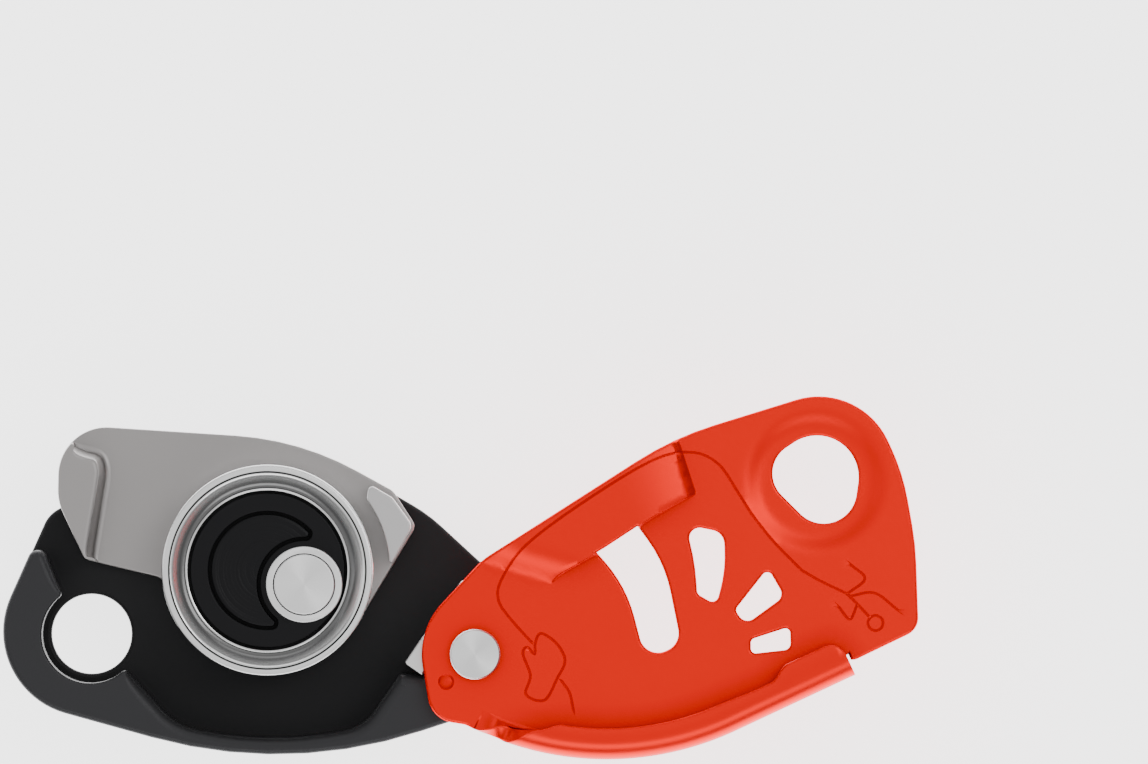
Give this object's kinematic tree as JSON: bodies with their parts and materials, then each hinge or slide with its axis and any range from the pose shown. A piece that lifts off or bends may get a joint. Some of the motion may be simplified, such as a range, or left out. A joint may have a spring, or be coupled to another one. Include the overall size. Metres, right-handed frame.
{
  "type": "rope descender",
  "caption": "Assisted-braking rope descender: grooved wheel on a pivoting steel cam in a dark fixed side plate, with an orange moving side plate that swings open.",
  "frame": {"origin": "centre of the attachment hole at the back face of the fixed side plate", "axes": "+Z along the pivots towards the moving side plate, +X from the attachment hole towards the open side plate"},
  "size_m": [0.1695, 0.0673, 0.0384],
  "materials": {
    "graphite_anodised": "satin, dark anodised",
    "orange_anodised": "satin orange-red anodised",
    "satin_steel": "bead-blasted stainless steel",
    "turned_steel": "fine turned marks",
    "polished_steel": "polished, turned",
    "black_anodised": "black anodised",
    "black_nylon": "fine-grained black nylon",
    "bearing_steel": "ground",
    "bronze": "sintered"
  },
  "bodies": {
    "frame": {"fixed_side_plate": "graphite_anodised", "friction_plate": "satin_steel", "friction_plate_rivets": "turned_steel", "axle_bush": "bronze", "cam_stop_pin": "turned_steel", "spring_anchor_pin": "turned_steel", "side_plate_rivet": "turned_steel", "pivot_rear_washer": "turned_steel", "pivot_wave_washer": "bearing_steel"},
    "moving_side": {"side_plate": "orange_anodised", "side_plate_liner": "black_nylon"},
    "cam_body": {"cam": "satin_steel", "cam_spring": "bearing_steel", "hub": "black_anodised", "hub_screws": "turned_steel", "crescent_key": "black_anodised", "cam_axle": "turned_steel", "axle_collar": "turned_steel", "drive_dog": "bearing_steel", "axle_rear_washer": "turned_steel", "axle_rear_screw": "turned_steel", "bearing_inner_race": "bearing_steel"},
    "cage_body": {"bearing_cage": "black_nylon", "bearing_balls": "bearing_steel"},
    "wheel_body": {"wheel": "polished_steel", "bearing_outer_race": "bearing_steel", "bearing_shield": "bearing_steel", "bearing_snap_ring": "bearing_steel"},
    "handle_body": {"handle": "black_nylon", "handle_insert": "bearing_steel"}
  },
  "joints": [
    {"name": "side_plate_swing", "type": "hinge", "parent": "frame", "child": "moving_side", "pos_m": [0.0713, -0.0036, 0.0215], "axis": [0, 0, 1], "range_deg": [0, 150]},
    {"name": "cam_pivot", "type": "hinge", "parent": "frame", "child": "cam_body", "pos_m": [0.0396, 0.0093, 0.005], "axis": [0, 0, 1], "range_deg": [-28, 0], "stiffness_Nm_per_rad": 0.05, "springref_deg": 17.19},
    {"name": "wheel_spin", "type": "hinge", "parent": "cam_body", "child": "wheel_body", "pos_m": [0.0328, 0.0119, 0.0126], "axis": [0, 0, 1], "continuous": true},
    {"name": "cage_spin", "type": "hinge", "parent": "cam_body", "child": "cage_body", "pos_m": [0.0328, 0.0119, 0.0126], "axis": [0, 0, 1], "continuous": true},
    {"name": "handle_unfold", "type": "hinge", "parent": "cam_body", "child": "handle_body", "pos_m": [0.0396, 0.0093, -0.006], "axis": [0, 0, 1], "range_deg": [0, 120]}
  ],
  "couplings": [
    {"joint": "cage_spin", "follows": "wheel_spin", "ratio": 0.5345}
  ]
}
